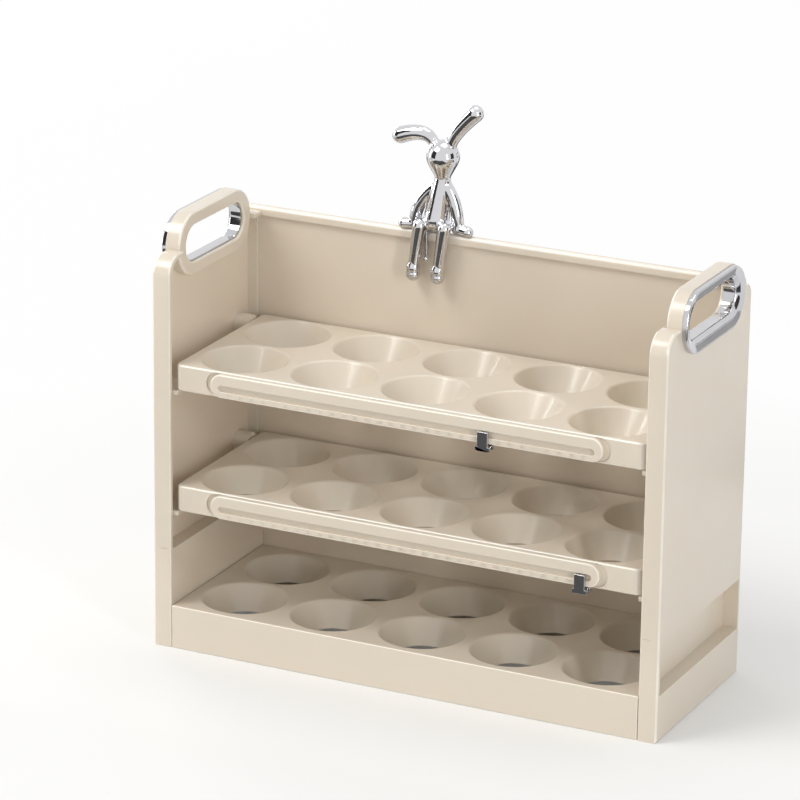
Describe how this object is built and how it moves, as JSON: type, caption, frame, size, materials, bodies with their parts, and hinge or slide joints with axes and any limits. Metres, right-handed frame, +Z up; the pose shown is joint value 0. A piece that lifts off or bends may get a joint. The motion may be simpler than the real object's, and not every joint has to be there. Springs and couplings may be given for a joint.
{
  "type": "egg holder",
  "caption": "Free-standing egg holder with a fixed base tray, flip-up shelves with egg cups, sliding date markers, carrying loops and a clip-on rabbit figure.",
  "frame": {"origin": "middle of the footprint, on the floor plane", "axes": "+X to the right along the width, +Y to the rear, +Z up"},
  "size_m": [0.2652, 0.1031, 0.2591],
  "materials": {
    "cream_moulding": "cream moulded plastic, satin with a very fine texture",
    "plated_trim": "bright plated, mirror smooth"
  },
  "bodies": {
    "frame": {"base_tray": "cream_moulding", "back_panel": "cream_moulding", "right_side_panel": "cream_moulding", "left_side_panel": "cream_moulding", "right_handle_ring": "plated_trim", "left_handle_ring": "plated_trim"},
    "upper_shelf": {"upper_shelf": "cream_moulding", "upper_date_rail": "cream_moulding"},
    "lower_shelf": {"lower_shelf": "cream_moulding", "lower_date_rail": "cream_moulding"},
    "upper_date_slider": {"upper_date_slider": "plated_trim"},
    "lower_date_slider": {"lower_date_slider": "plated_trim"},
    "rabbit_ornament": {"rabbit_ornament": "plated_trim"}
  },
  "joints": [
    {"name": "upper_shelf_flip", "type": "hinge", "parent": "frame", "child": "upper_shelf", "pos_m": [0, 0.032, 0.1385], "axis": [-1, 0, 0], "range_deg": [0, 90]},
    {"name": "lower_shelf_flip", "type": "hinge", "parent": "frame", "child": "lower_shelf", "pos_m": [0, 0.032, 0.0785], "axis": [-1, 0, 0], "range_deg": [0, 35]},
    {"name": "upper_date_slide", "type": "slide", "parent": "upper_shelf", "child": "upper_date_slider", "axis": [1, 0, 0], "range_m": [-0.1325, 0.0505]},
    {"name": "lower_date_slide", "type": "slide", "parent": "lower_shelf", "child": "lower_date_slider", "axis": [1, 0, 0], "range_m": [-0.182, 0.001]},
    {"name": "rabbit_lift", "type": "slide", "parent": "frame", "child": "rabbit_ornament", "axis": [0, 0, 1], "range_m": [0, 0.05]}
  ]
}
